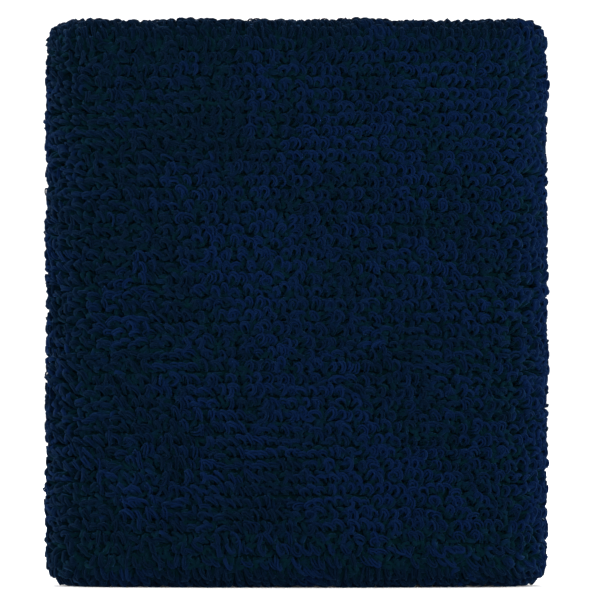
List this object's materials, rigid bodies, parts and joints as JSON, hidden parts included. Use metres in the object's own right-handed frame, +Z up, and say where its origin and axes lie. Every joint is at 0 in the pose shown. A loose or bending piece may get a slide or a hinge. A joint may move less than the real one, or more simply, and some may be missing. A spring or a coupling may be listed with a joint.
{
  "type": "sweat wristband",
  "caption": "Soft terry wristband: a knitted looped tube folded double, with a linking seam inside, worn on the wrist in racket sports to soak up sweat.",
  "frame": {"origin": "centre of the bottom of the band, on the plane it stands on", "axes": "+Z up along the tube, the way a hand goes in; X across the flat width; Y through the depth, with the front face at -Y"},
  "size_m": [0.08, 0.0248, 0.09],
  "materials": {
    "terry_pile": "matt looped cotton terry, dark navy",
    "ground_knit": "matt plain knit, dark navy",
    "elastic_thread": "yarn-covered rubber, dark navy",
    "seam_thread": "spun polyester thread, dark navy"
  },
  "bodies": {
    "root": {"outer_terry_pile": "terry_pile", "top_rim_terry_pile": "terry_pile", "bottom_rim_terry_pile": "terry_pile", "inner_upper_terry_pile": "terry_pile", "inner_lower_terry_pile": "terry_pile", "outer_ground_knit": "ground_knit", "top_rim_ground_knit": "ground_knit", "bottom_rim_ground_knit": "ground_knit", "inner_upper_ground_knit": "ground_knit", "inner_lower_ground_knit": "ground_knit", "seam_upper_selvedge": "ground_knit", "seam_lower_selvedge": "ground_knit", "outer_elastic_threads": "elastic_thread", "inner_upper_elastic_threads": "elastic_thread", "inner_lower_elastic_threads": "elastic_thread", "top_rim_elastic_thread": "elastic_thread", "bottom_rim_elastic_thread": "elastic_thread", "linking_seam_stitches": "seam_thread"}
  },
  "joints": []
}
